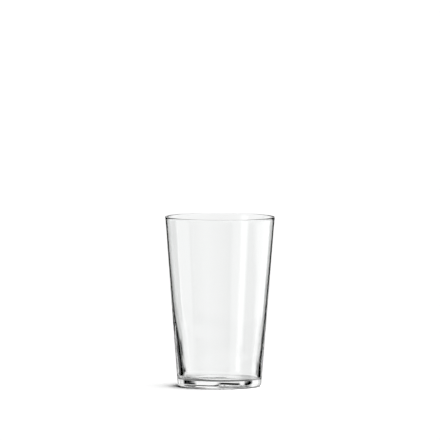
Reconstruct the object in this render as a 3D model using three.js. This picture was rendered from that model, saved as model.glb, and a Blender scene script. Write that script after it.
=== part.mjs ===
// Pint glass: a conical tumbler in one piece of clear glass, with a thin wall, a rounded lip,
// a heavy solid base and a shallow hollow under the foot. It holds 568 ml when full to the brim.
// Millimetres, +Z up. The origin is the centre of the foot, on the surface that the glass stands on.
import * as THREE from "three";

// Driving dimensions.
const HEIGHT = 135.6;
const RIM_DIAMETER = 87.7; // outside, across the lip
const BASE_DIAMETER = 66.7; // outside, where the line of the tapered wall would meet the table
const LIP_THICKNESS = 1.1; // the lip is fully rounded, so this is also its diameter
const FLOOR_HEIGHT = 6.1; // top of the solid base, inside the glass
const FLOOR_CORNER = 3; // width of the rounding between the inner wall and the floor
const FOOT_CORNER = 2.6; // rounding between the outer wall and the foot
const FOOT_RING_INNER_DIAMETER = 54; // the glass stands on the flat ring outside this
const PUNT_DEPTH = 0.9; // the hollow under the foot, at its centre
const PUNT_FLATNESS = 0.6; // 0 makes the hollow a cone, 1 makes it flat-topped out to the foot ring

// The wall thickens towards the base: height above the table, and horizontal thickness there.
const WALL_STATIONS = [
  [110, 1.1],
  [80, 1.1],
  [55, 1.25],
  [40, 1.9],
  [28, 2.5],
  [18, 3.1],
  [9.5, 3.6],
];

// Facets.
const SEGMENTS_ROUND = 72;
const STEPS_CORNER = 6;
const STEPS_PUNT = 5;
const STEPS_OUTER_WALL = 6;
const STEPS_INNER_WALL = 20;
const SAME_POINT = 1e-6;

const point = (radius, height) => new THREE.Vector2(radius, height);

/** Outside radius of the straight taper at a height above the table. */
function outerRadius(height) {
  return (BASE_DIAMETER + (RIM_DIAMETER - BASE_DIAMETER) * (height / HEIGHT)) / 2;
}

/** The hollow under the foot, from the axis out to the foot ring: a shallow dome. */
function underside() {
  const ring = FOOT_RING_INNER_DIAMETER / 2;
  const top = point(0, PUNT_DEPTH);
  const shoulder = point(ring * PUNT_FLATNESS, PUNT_DEPTH);
  return new THREE.QuadraticBezierCurve(top, shoulder, point(ring, 0)).getPoints(STEPS_PUNT);
}

/** The outer edge of the flat foot ring, rounded up into the outer wall. */
function footCorner() {
  const ringEdge = point(outerRadius(0) - FOOT_CORNER, 0);
  const wallFoot = point(outerRadius(FOOT_CORNER), FOOT_CORNER);
  const corner = point(outerRadius(0), 0);
  return new THREE.QuadraticBezierCurve(ringEdge, corner, wallFoot).getPoints(STEPS_CORNER);
}

/** The straight outer wall, up to where the lip starts to round over. */
function outerWall() {
  const wallFoot = point(outerRadius(FOOT_CORNER), FOOT_CORNER);
  const wallTop = point(RIM_DIAMETER / 2, HEIGHT - LIP_THICKNESS / 2);
  return new THREE.LineCurve(wallFoot, wallTop).getPoints(STEPS_OUTER_WALL);
}

/** The lip: a half circle from the outside of the wall over to the inside. */
function lip() {
  const radius = LIP_THICKNESS / 2;
  return new THREE.Path()
    .absarc(RIM_DIAMETER / 2 - radius, HEIGHT - radius, radius, 0, Math.PI, false)
    .getPoints(STEPS_CORNER);
}

/** The points that the inner wall passes through, from the lip down to the floor's corner. */
function innerStations() {
  const wallTop = point(RIM_DIAMETER / 2 - LIP_THICKNESS, HEIGHT - LIP_THICKNESS / 2);
  const stations = WALL_STATIONS.map(([height, thickness]) =>
    point(outerRadius(height) - thickness, height),
  );
  return [wallTop, ...stations];
}

/** The inner wall, from the lip down to the top of the floor's rounded corner. */
function innerWall() {
  return new THREE.SplineCurve(innerStations()).getPoints(STEPS_INNER_WALL);
}

/** The floor inside the glass: the rounded corner, then flat in to the axis. */
function floorInside() {
  const [above, wallFoot] = innerStations().slice(-2);
  const slope = (above.x - wallFoot.x) / (above.y - wallFoot.y);
  const corner = point(wallFoot.x - slope * (wallFoot.y - FLOOR_HEIGHT), FLOOR_HEIGHT);
  const floorEdge = point(wallFoot.x - FLOOR_CORNER, FLOOR_HEIGHT);
  const rounding = new THREE.QuadraticBezierCurve(wallFoot, corner, floorEdge);
  return [...rounding.getPoints(STEPS_CORNER), point(0, FLOOR_HEIGHT)];
}

/** The whole outline, from the axis under the foot round to the axis on the floor. */
function outline() {
  const stretches = [underside(), footCorner(), outerWall(), lip(), innerWall(), floorInside()];
  const points = stretches.flat();
  return points.filter((p, i) => i === 0 || p.distanceTo(points[i - 1]) > SAME_POINT);
}

/** Clear soda-lime glass. */
function clearGlass() {
  return new THREE.MeshStandardMaterial({
    name: "clear_glass",
    color: 0xf4f7f6,
    roughness: 0.02,
    metalness: 0,
    transparent: true,
    opacity: 0.35,
  });
}

/** The glass itself: one solid, turned about +Z. */
function glassBody() {
  const turned = new THREE.LatheGeometry(outline(), SEGMENTS_ROUND);
  turned.rotateX(Math.PI / 2); // LatheGeometry turns about +Y
  const mesh = new THREE.Mesh(turned, clearGlass());
  mesh.name = "glass_body";
  return mesh;
}

const pintGlass = new THREE.Group();
pintGlass.add(glassBody());

export default pintGlass;
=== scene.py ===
"""A clear pint glass on a white studio table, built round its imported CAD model."""

import math

import bpy
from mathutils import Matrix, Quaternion, Vector


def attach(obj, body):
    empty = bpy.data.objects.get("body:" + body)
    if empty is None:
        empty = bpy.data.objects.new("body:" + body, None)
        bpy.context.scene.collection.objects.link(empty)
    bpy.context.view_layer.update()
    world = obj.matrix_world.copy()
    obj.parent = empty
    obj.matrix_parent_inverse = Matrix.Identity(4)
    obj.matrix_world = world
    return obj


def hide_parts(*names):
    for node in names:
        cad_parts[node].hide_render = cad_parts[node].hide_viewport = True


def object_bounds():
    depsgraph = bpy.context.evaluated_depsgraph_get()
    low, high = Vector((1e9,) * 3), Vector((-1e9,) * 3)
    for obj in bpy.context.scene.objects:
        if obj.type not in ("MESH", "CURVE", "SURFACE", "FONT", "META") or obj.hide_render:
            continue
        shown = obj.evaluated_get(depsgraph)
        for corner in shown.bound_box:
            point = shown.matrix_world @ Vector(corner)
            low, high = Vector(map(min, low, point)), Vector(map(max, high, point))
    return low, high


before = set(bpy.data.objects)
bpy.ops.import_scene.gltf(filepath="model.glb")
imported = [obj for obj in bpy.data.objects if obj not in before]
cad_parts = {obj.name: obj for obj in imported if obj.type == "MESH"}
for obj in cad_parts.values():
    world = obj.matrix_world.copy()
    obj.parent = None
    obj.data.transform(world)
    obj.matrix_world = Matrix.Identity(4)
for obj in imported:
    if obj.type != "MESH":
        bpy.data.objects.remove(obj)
cad_low, cad_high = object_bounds()

# ---------------------------------------------------------------- sizes, in metres
MM = 0.001
HEIGHT = cad_high[2]
RIM_RADIUS = cad_high[0]
# Outside diameters in millimetres. Only their ratio is used.
RIM_DIAMETER = 87.7
BASE_DIAMETER = 66.7
BASE_RADIUS = RIM_RADIUS * BASE_DIAMETER / RIM_DIAMETER
LIP = 1.1 * MM
FOOT_CORNER = 2.6 * MM
FOOT_RING_RADIUS = 27 * MM
PUNT_DEPTH = 0.9 * MM
PUNT_FLATNESS = 0.6
FLOOR_HEIGHT = 6.1 * MM

# The wall is uneven: it thickens downwards, in steps that differ between its left and its right.
# Each step: (height of its middle, how gradual it is, thickness that it adds below), in millimetres.
WALL_THIN = 1.1
THICKENING_LEFT = [(75, 8, 0.4), (47, 6, 1.9), (18, 5, 1.1)]
THICKENING_RIGHT = [(75, 8, 0.4), (45, 6, 0.6), (25, 5, 1.2)]
SIDE_SHARPNESS = 1.5
# The rounding between wall and floor: (its top, its width), in millimetres.
CORNER_LEFT = (10.0, 4.4)
CORNER_RIGHT = (8.0, 2.4)

# The floor and the hollow under the foot are uneven too.
# Each wave: (depth in millimetres, waves round the glass, phase in degrees).
FLOOR_WAVES = [(0.4, 1, 60), (0.12, 5, 100)]
PUNT_WAVES = [(0.35, 2, 150), (0.2, 3, 20)]
# A slanting dent runs round part of the outer wall near the foot, to the right of its front.
DENT_DEPTH = 0.1 * MM
DENT_TURN = math.radians(-70)
DENT_SPREAD = 0.07
DENT_HEIGHT = 3.6 * MM
DENT_SLANT = 2.6 * MM
DENT_WIDTH = 0.8 * MM

# Facets. The outer wall is finer below FINE_HEIGHT, where the dent is.
SEGMENTS = 256
FINE_HEIGHT = 9 * MM
POINTS_PUNT = 40
POINTS_FOOT_RING = 6
POINTS_FOOT_CORNER = 16
POINTS_FINE_WALL = 26
POINTS_OUTER_WALL = 50
POINTS_HALF_LIP = 8
POINTS_INNER_WALL = 120
POINTS_FLOOR_CORNER = 24
POINTS_FLOOR = 40


# ---------------------------------------------------------------- the glass's outline
def blend(a, b, share):
    return a + (b - a) * share


def outer_radius(z):
    return blend(BASE_RADIUS, RIM_RADIUS, z / HEIGHT)


def waves(parts, turn):
    """The sum of some waves round the glass, each between 0 and its depth."""
    total = 0
    for depth, count, phase in parts:
        total += MM * depth * (1 + math.cos(count * turn + math.radians(phase))) / 2
    return total


def swell(share):
    """How strongly waves show from the axis, 0, to the edge, 1: not at all at either end."""
    return 4 * share ** 2 * (1 - share)


def dent(z, turn):
    """How far the outer wall is pinched in near the foot."""
    share = math.exp((math.cos(turn - DENT_TURN) - 1) / DENT_SPREAD)
    middle = DENT_HEIGHT - DENT_SLANT * math.sin(turn - DENT_TURN)
    return DENT_DEPTH * share * math.exp(-(((z - middle) / DENT_WIDTH) ** 2))


def rightness(turn):
    """0 on the left of the glass, 1 on its right, for an angle about +Z."""
    return 1 - ((1 - math.cos(turn)) / 2) ** SIDE_SHARPNESS


def thickening(steps, z):
    """The thickness that a side's steps add at a height."""
    return sum(MM * add / (1 + math.exp((z / MM - middle) / width)) for middle, width, add in steps)


def wall_thickness(z, turn):
    left = thickening(THICKENING_LEFT, z)
    right = thickening(THICKENING_RIGHT, z)
    return MM * WALL_THIN + blend(left, right, rightness(turn))


def bezier(a, b, c, steps):
    """Points of a quadratic curve from a to c, pulled towards b, without its last point."""
    points = []
    for i in range(steps):
        t = i / steps
        s = 1 - t
        points.append(tuple(s * s * p + 2 * s * t * q + t * t * r for p, q, r in zip(a, b, c)))
    return points


def line(a, b, steps):
    """Evenly spaced points from a to b, without its last point."""
    return [tuple(blend(p, q, i / steps) for p, q in zip(a, b)) for i in range(steps)]


def half_lip(start):
    """A quarter circle of the lip's round edge, from an angle in quarter turns."""
    radius = LIP / 2
    points = []
    for i in range(POINTS_HALF_LIP):
        angle = math.pi / 2 * (start + i / POINTS_HALF_LIP)
        across = RIM_RADIUS - radius + radius * math.cos(angle)
        points.append((across, HEIGHT - radius + radius * math.sin(angle)))
    return points


def underside(turn):
    """(radius, height) from the axis under the foot out to the foot ring."""
    shoulder = (FOOT_RING_RADIUS * PUNT_FLATNESS, PUNT_DEPTH)
    points = []
    for r, z in bezier((0, PUNT_DEPTH), shoulder, (FOOT_RING_RADIUS, 0), POINTS_PUNT):
        points.append((r, z + waves(PUNT_WAVES, turn) * swell(r / FOOT_RING_RADIUS)))
    return points


def outer_wall(turn):
    """(radius, height) from the outer edge of the foot ring up to the lip."""
    foot_edge = (outer_radius(0) - FOOT_CORNER, 0)
    wall_foot = (outer_radius(FOOT_CORNER), FOOT_CORNER)
    fine_top = (outer_radius(FINE_HEIGHT), FINE_HEIGHT)
    wall_top = (RIM_RADIUS, HEIGHT - LIP / 2)
    points = bezier(foot_edge, (outer_radius(0), 0), wall_foot, POINTS_FOOT_CORNER)
    points += line(wall_foot, fine_top, POINTS_FINE_WALL)
    points += line(fine_top, wall_top, POINTS_OUTER_WALL)
    return [(r - dent(z, turn), z) for r, z in points]


def outside_outline(turn):
    """(radius, height) from the axis under the foot, up the outer wall and over half the lip."""
    foot_edge = (outer_radius(0) - FOOT_CORNER, 0)
    foot_ring = line((FOOT_RING_RADIUS, 0), foot_edge, POINTS_FOOT_RING)
    return underside(turn) + foot_ring + outer_wall(turn) + half_lip(0)


def inner_point(z, turn):
    return (outer_radius(z) - wall_thickness(z, turn), z)


def floor_outline(edge, turn):
    """(radius, height) from the edge of the floor in to the axis."""
    points = []
    for r, z in line(edge, (0, FLOOR_HEIGHT), POINTS_FLOOR):
        points.append((r, z - waves(FLOOR_WAVES, turn) * swell(r / edge[0])))
    return points


def inside_outline(turn):
    """(radius, height) from the top of the lip down the inner wall to the axis on the floor."""
    corner = zip(CORNER_LEFT, CORNER_RIGHT)
    corner_top, corner_width = (MM * blend(left, right, rightness(turn)) for left, right in corner)
    heights = line((HEIGHT - LIP / 2,), (corner_top,), POINTS_INNER_WALL)
    inner = [inner_point(z, turn) for (z,) in heights]
    foot = inner_point(corner_top, turn)
    above = inner_point(corner_top + MM, turn)
    slope = (above[0] - foot[0]) / MM
    knee = (foot[0] - slope * (corner_top - FLOOR_HEIGHT), FLOOR_HEIGHT)
    edge = (foot[0] - corner_width, FLOOR_HEIGHT)
    rounding = bezier(foot, knee, edge, POINTS_FLOOR_CORNER)
    return half_lip(1) + inner + rounding + floor_outline(edge, turn)


# ---------------------------------------------------------------- meshes
def turns_of(steps):
    return [2 * math.pi * k / steps for k in range(steps)]


def mesh_object(name, verts, faces):
    mesh = bpy.data.meshes.new(name)
    mesh.from_pydata(verts, [], faces)
    obj = bpy.data.objects.new(name, mesh)
    bpy.context.scene.collection.objects.link(obj)
    return obj


def glass_verts():
    """The centre of the underside, then rings of points, then the centre of the floor."""
    turns = turns_of(SEGMENTS)
    outlines = [(outside_outline(turn) + inside_outline(turn))[1:] for turn in turns]
    verts = [(0, 0, PUNT_DEPTH)]
    for ring in zip(*outlines):
        verts += [(r * math.cos(turn), r * math.sin(turn), z) for turn, (r, z) in zip(turns, ring)]
    verts.append((0, 0, FLOOR_HEIGHT))
    return verts


def glass_faces(vert_count):
    """A fan of triangles at each centre, and quads between one ring and the next."""
    last = vert_count - 1
    rings = (vert_count - 2) // SEGMENTS
    top = 1 + (rings - 1) * SEGMENTS
    faces = []
    for k in range(SEGMENTS):
        beside = (k + 1) % SEGMENTS
        faces.append((0, 1 + beside, 1 + k))
        for j in range(rings - 1):
            low = 1 + j * SEGMENTS
            high = low + SEGMENTS
            faces.append((low + k, low + beside, high + beside, high + k))
        faces.append((top + k, top + beside, last))
    return faces


def build_glass():
    """The glass. It throws no shadow of its own: base_shade does that."""
    verts = glass_verts()
    piece = mesh_object("glass", verts, glass_faces(len(verts)))
    piece.data.shade_smooth()
    piece.data.update()
    piece.visible_shadow = False
    piece.visible_diffuse = False
    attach(piece, "root")
    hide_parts("glass_body")
    return piece


# ---------------------------------------------------------------- shader nodes
def math_node(nodes, links, operation, *values):
    node = nodes.new("ShaderNodeMath")
    node.operation = operation
    for socket, value in zip(node.inputs, values):
        if isinstance(value, (int, float)):
            socket.default_value = value
        else:
            links.new(value, socket)
    return node.outputs[0]


def object_place(nodes):
    """The place on the object, in metres."""
    return nodes.new("ShaderNodeTexCoord").outputs["Object"]


def noise_node(nodes, links, scale, detail):
    """Noise over the glass, with a scale per metre along each axis."""
    mapping = nodes.new("ShaderNodeMapping")
    mapping.inputs["Scale"].default_value = scale
    links.new(object_place(nodes), mapping.inputs["Vector"])
    noise = nodes.new("ShaderNodeTexNoise")
    noise.inputs["Scale"].default_value = 1.0
    noise.inputs["Detail"].default_value = detail
    links.new(mapping.outputs[0], noise.inputs["Vector"])
    return noise.outputs[0]


def range_node(nodes, links, value, source, target=(0, 1)):
    """Eases from the target's first number to its second as the value crosses the source's range."""
    node = nodes.new("ShaderNodeMapRange")
    node.interpolation_type = "SMOOTHSTEP"
    for name, number in zip(("From Min", "From Max", "To Min", "To Max"), source + target):
        node.inputs[name].default_value = number
    links.new(value, node.inputs["Value"])
    return node.outputs[0]


def ramp_node(nodes, links, factor, stops):
    """A grey ramp through stops of (place from 0 to 1, grey)."""
    ramp = nodes.new("ShaderNodeValToRGB")
    links.new(factor, ramp.inputs[0])
    elements = ramp.color_ramp.elements
    elements.remove(elements[1])
    for i, (place, grey) in enumerate(stops):
        element = elements[0] if i == 0 else elements.new(place)
        element.position = place
        element.color = (grey, grey, grey, 1)
    return ramp.outputs["Color"]


def mix_node(nodes, links, factor, a, b):
    mix = nodes.new("ShaderNodeMix")
    mix.data_type = "RGBA"
    links.new(factor, mix.inputs["Factor"])
    for socket, value in ((mix.inputs["A"], a), (mix.inputs["B"], b)):
        if isinstance(value, (int, float)):
            socket.default_value = (value, value, value, 1)
        else:
            links.new(value, socket)
    return mix.outputs["Result"]


def new_material(name):
    mat = bpy.data.materials.new(name)
    mat.use_nodes = True
    return mat, mat.node_tree.nodes, mat.node_tree.links


# ---------------------------------------------------------------- the glass itself
GLASS_TINT = (0.992, 0.997, 0.995, 1)
GLASS_IOR = 1.5
# Noise: (scale per metre along x, y and z), detail.
SMUDGES = (45, 45, 30), 4
SCUFFS = (900, 900, 900), 3
WAVINESS = (70, 70, 9), 2
WAVINESS_DEPTH = 0.01 * MM
# Ranges of noise, and the roughness that they turn into.
SMUDGE_RANGE, SMUDGE_ROUGHNESS = (0.5, 0.75), (0, 0.04)
SCUFF_RANGE, SCUFF_ROUGHNESS = (0.4, 0.7), (0.02, 0.2)
# The foot is scuffed below the first height, and not above the second.
SCUFFED_HEIGHTS = (0.05 * MM, 0.4 * MM)


def glass_roughness(nodes, links):
    """Faint smudges all over, and a scuffed foot."""
    smudges = range_node(nodes, links, noise_node(nodes, links, *SMUDGES), SMUDGE_RANGE, SMUDGE_ROUGHNESS)
    place = nodes.new("ShaderNodeSeparateXYZ")
    links.new(object_place(nodes), place.inputs[0])
    foot = range_node(nodes, links, place.outputs["Z"], SCUFFED_HEIGHTS, (1, 0))
    scuffs = range_node(nodes, links, noise_node(nodes, links, *SCUFFS), SCUFF_RANGE, SCUFF_ROUGHNESS)
    worn = math_node(nodes, links, "MULTIPLY", foot, scuffs)
    return math_node(nodes, links, "ADD", smudges, worn)


def glass_material():
    """Clear glass with smudges, a scuffed foot and a slightly wavy surface."""
    mat, nodes, links = new_material("clear_glass")
    bsdf = nodes["Principled BSDF"]
    bsdf.inputs["Base Color"].default_value = GLASS_TINT
    bsdf.inputs["IOR"].default_value = GLASS_IOR
    bsdf.inputs["Transmission Weight"].default_value = 1.0
    links.new(glass_roughness(nodes, links), bsdf.inputs["Roughness"])
    bump = nodes.new("ShaderNodeBump")
    bump.inputs["Distance"].default_value = WAVINESS_DEPTH
    links.new(noise_node(nodes, links, *WAVINESS), bump.inputs["Height"])
    links.new(bump.outputs[0], bsdf.inputs["Normal"])
    return mat


# ---------------------------------------------------------------- the studio, as the glass sees it
BRIGHTEST = 3.0
CAMERA_WHITE = 1.2
ROOM = 0.08
# A ring of panels: (degrees off straight behind the glass, brightness). Negative is to the left.
# The upper rings share two narrow bright windows, on the camera's left and on the far right.
LEFT_WINDOW = [(-180, 0.4), (-150, 0.5), (-135, 0.8), (-128, 2.4), (-121, 2.4), (-114, 0.8), (-75, 1)]
RIGHT_WINDOW = [(64, 0.8), (65, 1.8), (69, 1.8), (71, 0.8), (150, 0.6), (180, 0.4)]
CEILING = [(-180, 1), (180, 1)]
ABOVE = [(-180, 0.2), (-140, 0.4), (-90, 0.9), (-70, 0), (70, 0), (90, 0.9), (140, 0.4), (180, 0.2)]
UPPER = LEFT_WINDOW + [(75, 1), (150, 0.6), (180, 0.4)]
HIGH = LEFT_WINDOW + [
    (-40, 1), (-33, 0), (-1, 0), (3, 1), (23, 1), (26, 0), (44, 0), (50, 1),
] + RIGHT_WINDOW
RISE = LEFT_WINDOW + [
    (-41, 1), (-37, 0), (-27, 0), (-25, 1), (-21, 1), (-19, 0), (-1, 0), (3, 1), (23, 1), (26, 0),
    (44, 0), (50, 1),
] + RIGHT_WINDOW
LEVEL = LEFT_WINDOW + [
    (-50, 1.2), (-44, 1.6), (-33, 1.6), (-26, 0.97), (26, 0.97), (33, 1.6), (44, 1.6), (52, 1),
] + RIGHT_WINDOW
LOW = [
    (-180, 0.9), (-134, 0.9), (-120, 0.45), (-105, 0.3), (-101, 0.95), (-98, 0.88), (-82, 0.88),
    (-79, 0.95), (-76.5, 0), (-68, 0), (-64, 1), (-40, 1.2), (-33, 0), (-13.5, 0), (-11.5, 1),
    (-8, 0.95), (8, 0.95), (11.5, 1), (13.5, 0), (33, 0), (40, 1.2), (60, 1), (180, 0.9),
]
LOWER = [
    (-180, 0.9), (-145, 0.9), (-125, 0.45), (-107, 0.3), (-104, 0.93), (-75, 0.93), (-73, 0),
    (-17, 0), (-15, 0.93), (15, 0.93), (17, 0), (46, 0), (50, 1.4), (80, 1.3), (180, 0.9),
]
DEEP = [
    (-180, 0.8), (-150, 0.9), (-130, 0.6), (-111, 0.3), (-108, 0.93), (-71.5, 0.93), (-69.5, 0),
    (-20.5, 0), (-18.5, 1), (18.5, 1), (20.5, 0), (57, 0), (62, 1.2), (78, 1.2), (86, 0.2),
    (114, 0.2), (117, 0.93), (150, 0.93), (157, 0.4), (180, 0.8),
]
GROUND = [
    (-180, 1.2), (-95, 1.2), (-86, 0), (-65, 0), (-61, 0.93), (-29, 0.93), (-25, 0), (-17, 0),
    (-13, 0.93), (13, 0.93), (20, 0), (37, 0), (44, 1.6), (80, 1.4), (180, 1.2),
]
STEEP = [(-180, 0.9), (180, 0.9)]
# Rings of panels from the lowest up, with the elevations between which the next one takes over.
RINGS = [
    (STEEP, -60, -45), (GROUND, -22, -20), (DEEP, -11, -10), (LOWER, -7, -6), (LOW, -4, -2.5),
    (LEVEL, -0.5, 0.5), (RISE, 2, 3), (HIGH, 7.5, 8.5), (UPPER, 13, 14), (ABOVE, 45, 55),
    (CEILING, None, None),
]


def ring_node(nodes, links, turn, panels):
    stops = [((angle + 180) / 360, brightness / BRIGHTEST) for angle, brightness in panels]
    return ramp_node(nodes, links, turn, stops)


def takeover_node(nodes, links, height, start, end):
    """0 below the start elevation, 1 above the end, in degrees."""
    source = (math.sin(math.radians(start)), math.sin(math.radians(end)))
    return range_node(nodes, links, height, source)


def tent_node(nodes, links):
    """All the rings of panels."""
    split = nodes.new("ShaderNodeSeparateXYZ")
    links.new(nodes.new("ShaderNodeTexCoord").outputs["Generated"], split.inputs[0])
    x, y, height = split.outputs
    angle = math_node(nodes, links, "ARCTAN2", x, y)
    turn = math_node(nodes, links, "MULTIPLY_ADD", angle, 1 / (2 * math.pi), 0.5)
    tent = ring_node(nodes, links, turn, RINGS[0][0])
    for (_, start, end), (panels, _, _) in zip(RINGS, RINGS[1:]):
        above = ring_node(nodes, links, turn, panels)
        tent = mix_node(nodes, links, takeover_node(nodes, links, height, start, end), tent, above)
    return tent


def studio_world():
    """The glass sees the panels, the table gets a little even light, and the camera sees white."""
    world = bpy.data.worlds.new("studio")
    bpy.context.scene.world = world
    world.use_nodes = True
    nodes, links = world.node_tree.nodes, world.node_tree.links
    background = nodes["Background"]
    tent = tent_node(nodes, links)
    path = nodes.new("ShaderNodeLightPath")
    diffuse = math_node(nodes, links, "MINIMUM", path.outputs["Diffuse Depth"], 1)
    seen = mix_node(nodes, links, diffuse, tent, ROOM / BRIGHTEST)
    seen = mix_node(nodes, links, path.outputs["Is Camera Ray"], seen, CAMERA_WHITE / BRIGHTEST)
    links.new(seen, background.inputs["Color"])
    background.inputs["Strength"].default_value = BRIGHTEST


# ---------------------------------------------------------------- the table, the light on it, and painted light under the foot
CIRCLE_STEPS = 96
TABLE_RADIUS = 8
TABLE_WHITE = (0.9, 0.9, 0.9, 1)
TABLE_ROUGHNESS = 0.9
FOOTPRINT_RADIUS = 34 * MM
FOOTPRINT_HEIGHT = -0.1 * MM
# Painted light and shadow that only the glass sees, standing in for the lit table under its foot, dark in
# a ring as a painted shadow of the foot ring: (radius in millimetres, brightness).
PAINTED_LIGHT_UNDER_FOOT = [(0, 0.9), (16, 0.9), (21, 0.12), (31, 0.12), (34, 0.8)]
SHADE_BOTTOM = 0.2 * MM
SHADE_TOP = 9 * MM
SHADE_RADIUS = BASE_RADIUS - 0.3 * MM
KEY_ENERGY = 4.75
KEY_ANGLE = math.radians(80)
KEY_DIRECTION = (-0.72, 0, -0.7)


def circle(radius, z):
    return [(radius * math.cos(turn), radius * math.sin(turn), z) for turn in turns_of(CIRCLE_STEPS)]


def white_paint():
    mat, nodes, _ = new_material("white_table")
    bsdf = nodes["Principled BSDF"]
    bsdf.inputs["Base Color"].default_value = TABLE_WHITE
    bsdf.inputs["Roughness"].default_value = TABLE_ROUGHNESS
    bsdf.inputs["Specular IOR Level"].default_value = 0.0
    return mat


def painted_light_paint():
    """Painted light: a glow in rings, bright in the middle, with a painted shadow ring under the foot
    ring.
    """
    mat, nodes, links = new_material("painted_light_table")
    bsdf = nodes["Principled BSDF"]
    bsdf.inputs["Base Color"].default_value = (0, 0, 0, 1)
    bsdf.inputs["Specular IOR Level"].default_value = 0.0
    bsdf.inputs["Emission Strength"].default_value = 1.0
    length = nodes.new("ShaderNodeVectorMath")
    length.operation = "LENGTH"
    links.new(object_place(nodes), length.inputs[0])
    share = math_node(nodes, links, "DIVIDE", length.outputs["Value"], FOOTPRINT_RADIUS)
    stops = [(radius * MM / FOOTPRINT_RADIUS, brightness) for radius, brightness in PAINTED_LIGHT_UNDER_FOOT]
    links.new(ramp_node(nodes, links, share, stops), bsdf.inputs["Emission Color"])
    return mat


def disc(name, radius, z, material):
    obj = mesh_object(name, circle(radius, z), [tuple(range(CIRCLE_STEPS))])
    obj.data.materials.append(material)
    return obj


def table():
    """The table for the camera, and a glowing disc under the foot that only the glass sees: painted light
    and a painted shadow ring for the table there.
    """
    seen = disc("table", TABLE_RADIUS, 0, white_paint())
    seen.visible_glossy = False
    seen.visible_transmission = False
    # A disc hidden from the camera that glows: painted light and painted shadow for the table under the
    # foot.
    under = disc("painted_light_disc", FOOTPRINT_RADIUS, FOOTPRINT_HEIGHT, painted_light_paint())
    under.visible_camera = False
    under.visible_diffuse = False
    under.visible_shadow = False


def base_shade():
    """The solid base keeps light off the table. The thin wall doesn't, so it throws no shadow."""
    steps = CIRCLE_STEPS
    faces = [(k, (k + 1) % steps, steps + (k + 1) % steps, steps + k) for k in range(steps)]
    faces += [tuple(range(steps))[::-1], tuple(range(steps, 2 * steps))]
    verts = circle(SHADE_RADIUS, SHADE_BOTTOM) + circle(SHADE_RADIUS, SHADE_TOP)
    obj = mesh_object("base_shade", verts, faces)
    obj.data.materials.append(white_paint())
    obj.visible_camera = False
    obj.visible_glossy = False
    obj.visible_transmission = False


def key_light():
    """A broad soft light from the right."""
    data = bpy.data.lights.new("key", "SUN")
    data.energy = KEY_ENERGY
    data.angle = KEY_ANGLE
    obj = bpy.data.objects.new("key", data)
    bpy.context.scene.collection.objects.link(obj)
    obj.rotation_mode = "QUATERNION"
    obj.rotation_quaternion = Vector(KEY_DIRECTION).to_track_quat("-Z", "Y")
    obj.visible_glossy = False
    obj.visible_transmission = False


# ---------------------------------------------------------------- the camera and the picture
CAMERA_DISTANCE = 6.0
CAMERA_REACH = 50
RIM_ELEVATION = math.radians(3.76)
# The picture's width in rim diameters, and how far below the rim its middle is, in picture widths.
WIDTH_IN_RIMS = 3.993
AIM_DROP = 0.00784
PICTURE_WIDTH = WIDTH_IN_RIMS * 2 * RIM_RADIUS
AIM_BELOW_RIM = AIM_DROP * PICTURE_WIDTH
ROLL = math.radians(0.185)
# The picture's darkest tones are taken to black.
BLACK_LEVEL = 0.06
# Light is followed a long way round inside the thin wall.
BOUNCES = 64


def camera():
    data = bpy.data.cameras.new("camera")
    data.lens = data.sensor_width * CAMERA_DISTANCE / PICTURE_WIDTH
    data.clip_end = CAMERA_REACH
    obj = bpy.data.objects.new("camera", data)
    bpy.context.scene.collection.objects.link(obj)
    aim = Vector((0, 0, HEIGHT - AIM_BELOW_RIM))
    obj.location = (0, -CAMERA_DISTANCE, HEIGHT + CAMERA_DISTANCE * math.tan(RIM_ELEVATION))
    obj.rotation_mode = "QUATERNION"
    look = (aim - obj.location).to_track_quat("-Z", "Y")
    obj.rotation_quaternion = look @ Quaternion((0, 0, 1), ROLL)
    bpy.context.scene.camera = obj


def picture_settings():
    scene = bpy.context.scene
    scene.view_settings.view_transform = "Standard"
    scene.view_settings.use_curve_mapping = True
    scene.view_settings.curve_mapping.black_level = (BLACK_LEVEL,) * 3
    scene.view_settings.curve_mapping.update()
    scene.cycles.max_bounces = BOUNCES
    scene.cycles.transmission_bounces = BOUNCES
    scene.cycles.glossy_bounces = BOUNCES


camera()
build_glass().data.materials.append(glass_material())
studio_world()
table()
base_shade()
key_light()
picture_settings()
